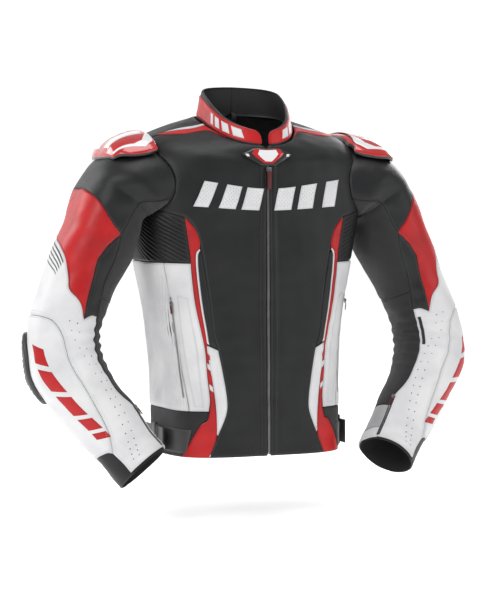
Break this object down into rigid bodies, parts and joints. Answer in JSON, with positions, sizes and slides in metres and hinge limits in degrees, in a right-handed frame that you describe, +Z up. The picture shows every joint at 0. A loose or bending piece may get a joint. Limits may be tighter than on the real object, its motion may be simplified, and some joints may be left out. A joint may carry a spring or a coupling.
{
  "type": "riding jacket",
  "caption": "Hip-length leather riding jacket with stand collar, front zip, pre-curved sleeves, stretch panels, shoulder cups and elbow sliders.",
  "frame": {"origin": "centre of the hanger loop inside the back of the collar", "axes": "+X to the wearer's left across both sleeves, +Y towards the wearer's back, +Z up"},
  "size_m": [0.7882, 0.2973, 0.6571],
  "materials": {
    "black_leather": "grained cowhide, semi matt",
    "white_leather": "grained cowhide, semi matt",
    "red_leather": "grained cowhide, satin",
    "stretch_knit": "ribbed stretch",
    "lining_mesh": "mesh lining",
    "red_plastic": "gloss",
    "dark_plastic": "satin",
    "pad_foam": "moulded foam armour",
    "zip_metal": "dark nickel",
    "zip_tape": "woven tape",
    "webbing": "woven webbing",
    "pull_rubber": "moulded pull"
  },
  "bodies": {
    "jacket_body": {"front_panel_L": "black_leather", "front_panel_R": "black_leather", "dark_inserts": "black_leather", "white_crescents": "white_leather", "red_stripe_L": "red_leather", "red_stripe_R": "red_leather", "side_panel_L": "white_leather", "side_panel_R": "white_leather", "underarm_stretch_L": "stretch_knit", "underarm_stretch_R": "stretch_knit", "waist_panel_L": "stretch_knit", "waist_panel_R": "stretch_knit", "back_yoke_L": "black_leather", "back_yoke_R": "black_leather", "back_panel": "black_leather", "back_stretch": "stretch_knit", "shoulder_chevrons": "red_leather", "collar_band": "red_leather", "zip_badge": "dark_plastic", "chest_bars": "white_leather", "zip_tapes": "zip_tape", "zip_teeth": "zip_metal", "torso_lining": "lining_mesh", "back_protector": "pad_foam", "hanger_loop": "webbing", "connection_zip": "zip_metal", "waist_buckles": "dark_plastic", "pocket_welts": "white_leather"},
    "upper_arm_L": {"sleeve_head_L": "black_leather", "upper_sleeve_L": "black_leather", "biceps_panel_L": "red_leather", "sleeve_stretch_L": "stretch_knit", "shoulder_pad_L": "pad_foam"},
    "upper_arm_R": {"sleeve_head_R": "black_leather", "upper_sleeve_R": "black_leather", "biceps_panel_R": "red_leather", "sleeve_stretch_R": "stretch_knit", "shoulder_pad_R": "pad_foam"},
    "forearm_L": {"elbow_stretch_L": "white_leather", "forearm_panel_L": "white_leather", "forearm_stretch_L": "stretch_knit", "cuff_gusset_L": "stretch_knit", "elbow_slider_L": "dark_plastic", "elbow_pad_L": "pad_foam"},
    "forearm_R": {"elbow_stretch_R": "white_leather", "forearm_panel_R": "white_leather", "forearm_stretch_R": "stretch_knit", "cuff_gusset_R": "stretch_knit", "elbow_slider_R": "dark_plastic", "elbow_pad_R": "pad_foam"},
    "shoulder_cup_L": {"shoulder_cup_L": "red_plastic"},
    "shoulder_cup_R": {"shoulder_cup_R": "red_plastic"},
    "cuff_slider_L": {"cuff_slider_L": "zip_metal"},
    "cuff_slider_R": {"cuff_slider_R": "zip_metal"},
    "pocket_slider_L": {"pocket_slider_L": "zip_metal"},
    "pocket_slider_R": {"pocket_slider_R": "zip_metal"},
    "waist_strap_L": {"waist_strap_L": "webbing"},
    "waist_strap_R": {"waist_strap_R": "webbing"},
    "zip_slider": {"zip_slider": "zip_metal"},
    "zip_pull": {"zip_pull": "pull_rubber"}
  },
  "joints": [
    {"name": "shoulder_L", "type": "hinge", "parent": "jacket_body", "child": "upper_arm_L", "pos_m": [0.2, -0.054, -0.082], "axis": [0, -1, 0], "range_deg": [0, 25], "deforming": ["sleeve_head_L"]},
    {"name": "cup_lift_L", "type": "hinge", "parent": "jacket_body", "child": "shoulder_cup_L", "pos_m": [0.155, -0.054, -0.028], "axis": [0, -1, 0], "range_deg": [0, 12]},
    {"name": "elbow_L", "type": "hinge", "parent": "upper_arm_L", "child": "forearm_L", "pos_m": [0.326, -0.096, -0.377], "axis": [-0.7692, 0.5794, 0.2697], "range_deg": [-8, 30], "deforming": ["elbow_stretch_L"]},
    {"name": "cuff_zip_L", "type": "slide", "parent": "forearm_L", "child": "cuff_slider_L", "axis": [-0.5239, -0.2787, -0.8049], "range_m": [0, 0.07]},
    {"name": "pocket_zip_L", "type": "slide", "parent": "jacket_body", "child": "pocket_slider_L", "axis": [-0.118, -0.0642, -0.9909], "range_m": [0, 0.12]},
    {"name": "waist_adjust_L", "type": "slide", "parent": "jacket_body", "child": "waist_strap_L", "axis": [0, -1, 0], "range_m": [0, 0.02]},
    {"name": "shoulder_R", "type": "hinge", "parent": "jacket_body", "child": "upper_arm_R", "pos_m": [-0.2, -0.054, -0.082], "axis": [0, 1, 0], "range_deg": [0, 25], "deforming": ["sleeve_head_R"]},
    {"name": "cup_lift_R", "type": "hinge", "parent": "jacket_body", "child": "shoulder_cup_R", "pos_m": [-0.155, -0.054, -0.028], "axis": [0, 1, 0], "range_deg": [0, 12]},
    {"name": "elbow_R", "type": "hinge", "parent": "upper_arm_R", "child": "forearm_R", "pos_m": [-0.326, -0.096, -0.377], "axis": [-0.7692, -0.5794, -0.2697], "range_deg": [-8, 30], "deforming": ["elbow_stretch_R"]},
    {"name": "cuff_zip_R", "type": "slide", "parent": "forearm_R", "child": "cuff_slider_R", "axis": [0.5239, -0.2787, -0.8049], "range_m": [0, 0.07]},
    {"name": "pocket_zip_R", "type": "slide", "parent": "jacket_body", "child": "pocket_slider_R", "axis": [0.118, -0.0642, -0.9909], "range_m": [0, 0.12]},
    {"name": "waist_adjust_R", "type": "slide", "parent": "jacket_body", "child": "waist_strap_R", "axis": [0, -1, 0], "range_m": [0, 0.02]},
    {"name": "main_zip", "type": "slide", "parent": "jacket_body", "child": "zip_slider", "axis": [0, -0.0124, -0.9999], "range_m": [0, 0.39]},
    {"name": "zip_pull_swing", "type": "hinge", "parent": "zip_slider", "child": "zip_pull", "pos_m": [0, -0.17239, -0.092], "axis": [-1, 0, 0], "range_deg": [0, 90]}
  ],
  "couplings": [
    {"joint": "cup_lift_L", "follows": "shoulder_L", "ratio": 0.45},
    {"joint": "cup_lift_R", "follows": "shoulder_R", "ratio": 0.45}
  ]
}
